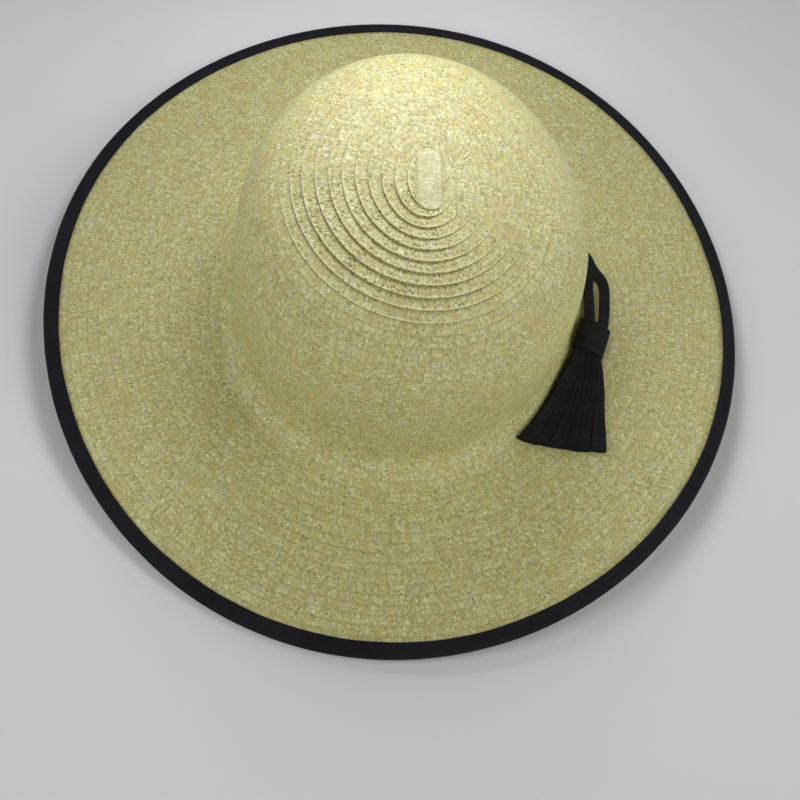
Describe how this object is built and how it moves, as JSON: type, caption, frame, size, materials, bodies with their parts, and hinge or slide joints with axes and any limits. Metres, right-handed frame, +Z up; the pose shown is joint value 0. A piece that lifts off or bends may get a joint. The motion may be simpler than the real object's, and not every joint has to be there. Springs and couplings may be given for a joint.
{
  "type": "wide-brim straw hat",
  "caption": "Wide-brim sun hat of sewn straw braid with an oval dome crown, a gently waved brim, a black ribbon bound over its edge and a black strip tassel on one side.",
  "frame": {"origin": "on the surface the hat rests on, under the middle of its outline", "axes": "+Z up out of the crown, +Y to the back of the hat, -Y to its front, +X to the wearer's left"},
  "size_m": [0.3586, 0.3886, 0.1292],
  "materials": {
    "straw": "sewn straw braid, matt with a faint sheen",
    "ribbon": "matt black ribbed ribbon",
    "tassel": "matt black suede-like strips"
  },
  "bodies": {
    "root": {"crown": "straw", "brim": "straw", "brim_ribbon": "ribbon", "tassel_loop": "tassel", "tassel_wrap": "tassel", "tassel_fringe": "tassel"}
  },
  "joints": []
}
